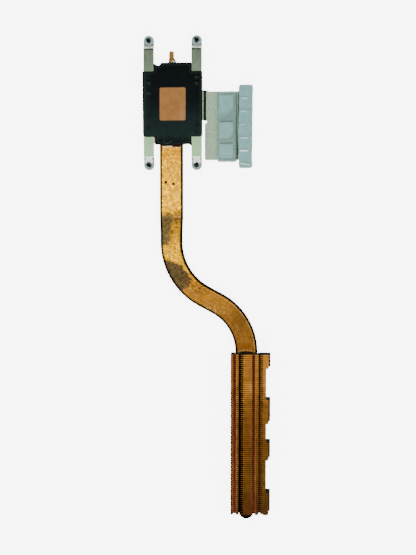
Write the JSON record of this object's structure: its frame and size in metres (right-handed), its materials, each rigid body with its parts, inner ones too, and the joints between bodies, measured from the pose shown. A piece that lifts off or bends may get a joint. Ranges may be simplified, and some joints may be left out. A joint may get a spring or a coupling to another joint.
{
  "type": "laptop heatsink",
  "caption": "Copper laptop heatsink: sprung contact plate under a black insulating sheet, one flattened bent heat pipe, a zipper fin stack and a side plate with thermal pads.",
  "frame": {"origin": "centre of the processor contact face of the copper contact plate", "axes": "+Z out of the contact face, away from the back that the part lies on; +Y along the straight run of the pipe, from the fins towards the pinched pipe end; +X towards the side plate and the fins"},
  "size_m": [0.0625, 0.2372, 0.008],
  "materials": {
    "pipe_copper": "brown to golden tarnished copper, brushed, with stains",
    "wick_copper": "sintered copper",
    "plate_copper": "matt bare copper",
    "fin_copper": "tarnished thin copper sheet",
    "solder": "dull tin solder",
    "black_sheet": "satin black polyester sheet",
    "spring_steel": "satin rolled stainless steel",
    "rivet_steel": "plain steel",
    "side_plate": "fine grained matt sheet",
    "keeper_washer": "smooth grey nylon",
    "screw_steel": "black zinc plated steel",
    "pad_silicone": "soft filled silicone, pale grey",
    "pad_film": "smooth thin film on the pad"
  },
  "bodies": {
    "heatsink": {"heat_pipe": "pipe_copper", "pipe_wick": "wick_copper", "base_plate": "plate_copper", "plate_solder": "solder", "fin_solder": "solder", "insulating_sheet": "black_sheet", "left_spring_strip": "spring_steel", "right_spring_strip": "spring_steel", "left_rivets": "rivet_steel", "right_rivets": "rivet_steel", "side_plate": "side_plate", "inductor_pad": "pad_silicone", "transistor_pad": "pad_silicone", "inductor_pad_film": "pad_film", "transistor_pad_film": "pad_film", "wide_fins_1": "fin_copper", "narrow_fins_1": "fin_copper", "wide_fins_2": "fin_copper", "narrow_fins_2": "fin_copper", "wide_fins_3": "fin_copper", "narrow_fins_3": "fin_copper", "wide_fins_4": "fin_copper"},
    "washer_top_left": {"keeper_washer_top_left": "keeper_washer"},
    "screw_top_left": {"captive_screw_top_left": "screw_steel"},
    "washer_top_right": {"keeper_washer_top_right": "keeper_washer"},
    "screw_top_right": {"captive_screw_top_right": "screw_steel"},
    "washer_bottom_left": {"keeper_washer_bottom_left": "keeper_washer"},
    "screw_bottom_left": {"captive_screw_bottom_left": "screw_steel"},
    "washer_bottom_right": {"keeper_washer_bottom_right": "keeper_washer"},
    "screw_bottom_right": {"captive_screw_bottom_right": "screw_steel"}
  },
  "joints": [
    {"name": "screw_float_top_left", "type": "slide", "parent": "heatsink", "child": "washer_top_left", "axis": [0, 0, 1], "range_m": [0, 0.0005]},
    {"name": "screw_turn_top_left", "type": "hinge", "parent": "washer_top_left", "child": "screw_top_left", "pos_m": [-0.01165, 0.0306, -0.0015], "axis": [0, 0, 1], "continuous": true},
    {"name": "screw_float_top_right", "type": "slide", "parent": "heatsink", "child": "washer_top_right", "axis": [0, 0, 1], "range_m": [0, 0.0005]},
    {"name": "screw_turn_top_right", "type": "hinge", "parent": "washer_top_right", "child": "screw_top_right", "pos_m": [0.01165, 0.0306, -0.0015], "axis": [0, 0, 1], "continuous": true},
    {"name": "screw_float_bottom_left", "type": "slide", "parent": "heatsink", "child": "washer_bottom_left", "axis": [0, 0, 1], "range_m": [0, 0.0005]},
    {"name": "screw_turn_bottom_left", "type": "hinge", "parent": "washer_bottom_left", "child": "screw_bottom_left", "pos_m": [-0.01165, -0.0293, -0.0015], "axis": [0, 0, 1], "continuous": true},
    {"name": "screw_float_bottom_right", "type": "slide", "parent": "heatsink", "child": "washer_bottom_right", "axis": [0, 0, 1], "range_m": [0, 0.0005]},
    {"name": "screw_turn_bottom_right", "type": "hinge", "parent": "washer_bottom_right", "child": "screw_bottom_right", "pos_m": [0.01165, -0.0293, -0.0015], "axis": [0, 0, 1], "continuous": true}
  ]
}
